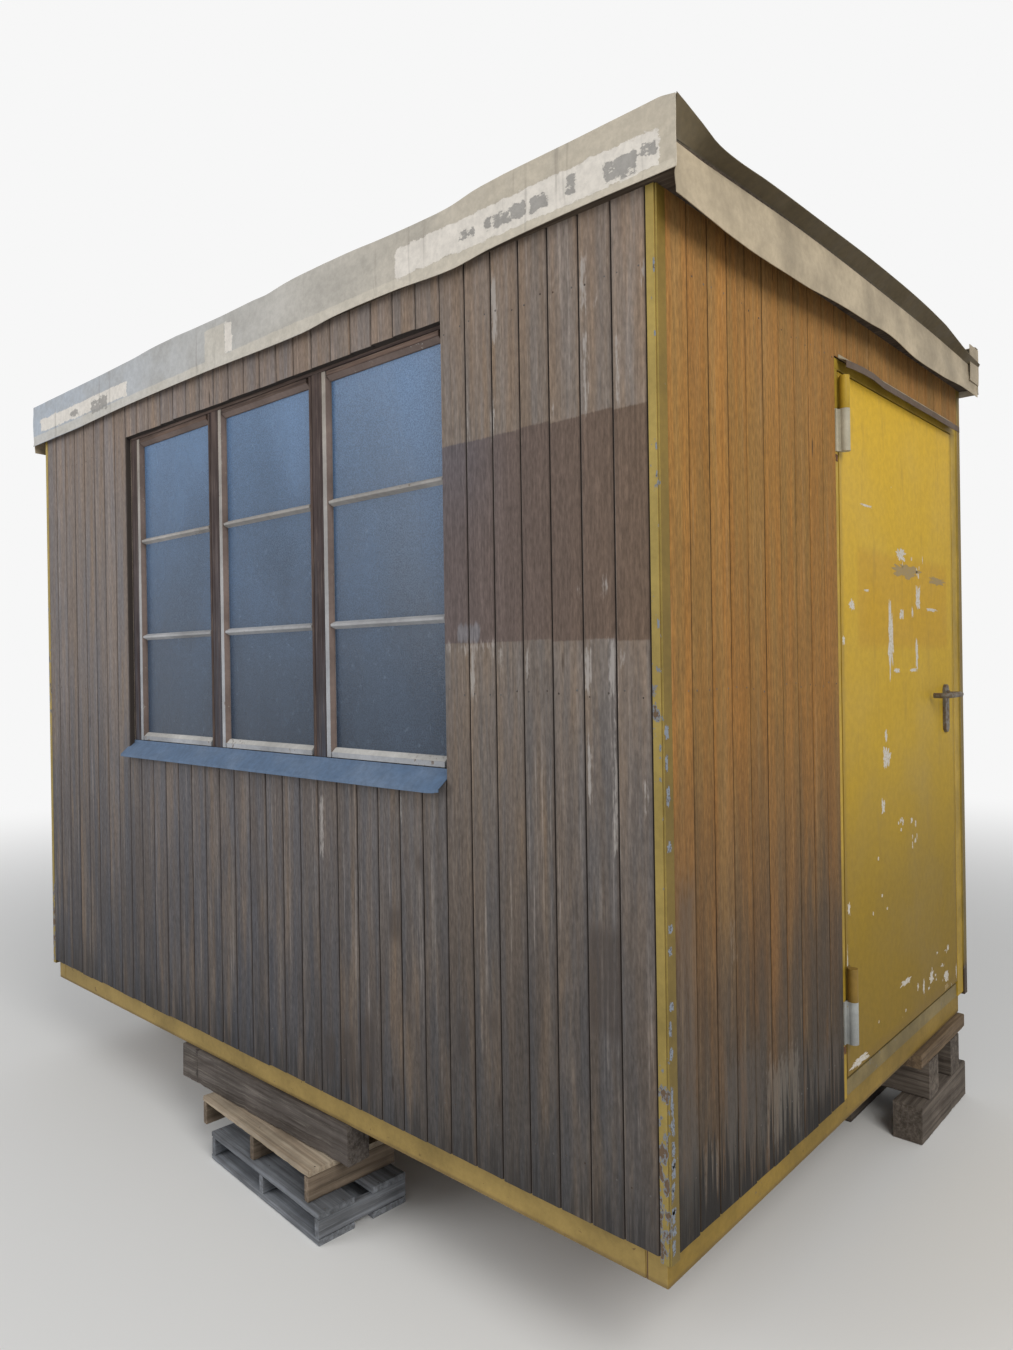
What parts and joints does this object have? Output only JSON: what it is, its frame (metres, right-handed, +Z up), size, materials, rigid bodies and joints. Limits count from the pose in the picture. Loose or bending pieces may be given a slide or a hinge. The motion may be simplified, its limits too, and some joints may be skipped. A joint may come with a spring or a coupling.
{
  "type": "portable site cabin",
  "caption": "Boarded site cabin on a steel base frame, with a wide casement window, a hinged steel door, a flat metal roof and timber packing.",
  "frame": {"origin": "on the level ground, under the middle of the overall footprint", "axes": "+X along the window wall towards the door end, +Y from the window wall to the back, +Z up"},
  "size_m": [3.22, 2.1474, 2.727],
  "materials": {
    "rail_paint": "worn ochre yellow paint",
    "post_paint": "chipped yellow over grey blue paint",
    "weathered_boards": "weathered vertical boards",
    "floor_wood": "worn boards",
    "lining": "plain lining board",
    "frame_wood": "old dark brown stain",
    "sash_wood": "worn white paint on grey wood",
    "glass": "dusty",
    "galvanised": "dull galvanised sheet",
    "door_paint": "worn yellow paint",
    "verge_paint": "pale dull paint",
    "rusty_iron": "rusty",
    "support_timber": "rough grey timber"
  },
  "bodies": {
    "cabin": {"base_rail_front": "rail_paint", "base_rail_back": "rail_paint", "base_rail_left": "rail_paint", "base_rail_right": "rail_paint", "floor_bearers": "floor_wood", "floor_boards": "floor_wood", "corner_posts": "post_paint", "front_wall_left": "weathered_boards", "front_wall_right": "weathered_boards", "front_wall_below_window": "weathered_boards", "front_wall_over_window": "weathered_boards", "back_wall": "weathered_boards", "left_wall": "weathered_boards", "right_wall_beside_door": "weathered_boards", "right_wall_over_door": "weathered_boards", "window_frame_rails": "frame_wood", "window_frame_posts": "frame_wood", "window_sash_left": "sash_wood", "window_sash_middle": "sash_wood", "window_sash_right": "sash_wood", "window_glass": "glass", "window_sill_flashing": "galvanised", "door_jambs": "door_paint", "door_head": "door_paint", "door_threshold": "galvanised", "door_drip_strip": "verge_paint", "hinge_frame_halves": "door_paint", "ceiling": "lining", "roof_deck": "support_timber", "roof_sheet": "galvanised", "front_fascia": "galvanised", "rear_fascia": "galvanised", "right_verge": "verge_paint", "left_verge": "verge_paint", "front_beam": "support_timber", "front_pallet_upper": "support_timber", "front_pallet_lower": "support_timber", "rear_planks": "support_timber", "rear_sleepers_upper": "support_timber", "rear_sleepers_lower": "support_timber"},
    "door": {"door_leaf": "door_paint", "hinge_leaf_halves": "door_paint", "handle_plate": "rusty_iron"},
    "lever": {"door_lever": "rusty_iron"}
  },
  "joints": [
    {"name": "door_hinge", "type": "hinge", "parent": "cabin", "child": "door", "pos_m": [1.534, -0.05317, 1.4135], "axis": [0, 0, -1], "range_deg": [0, 110]},
    {"name": "lever_turn", "type": "hinge", "parent": "door", "child": "lever", "pos_m": [1.515, 0.85583, 1.468], "axis": [1, 0, 0], "range_deg": [0, 40], "stiffness_Nm_per_rad": 1.5, "springref_deg": -25.78}
  ]
}
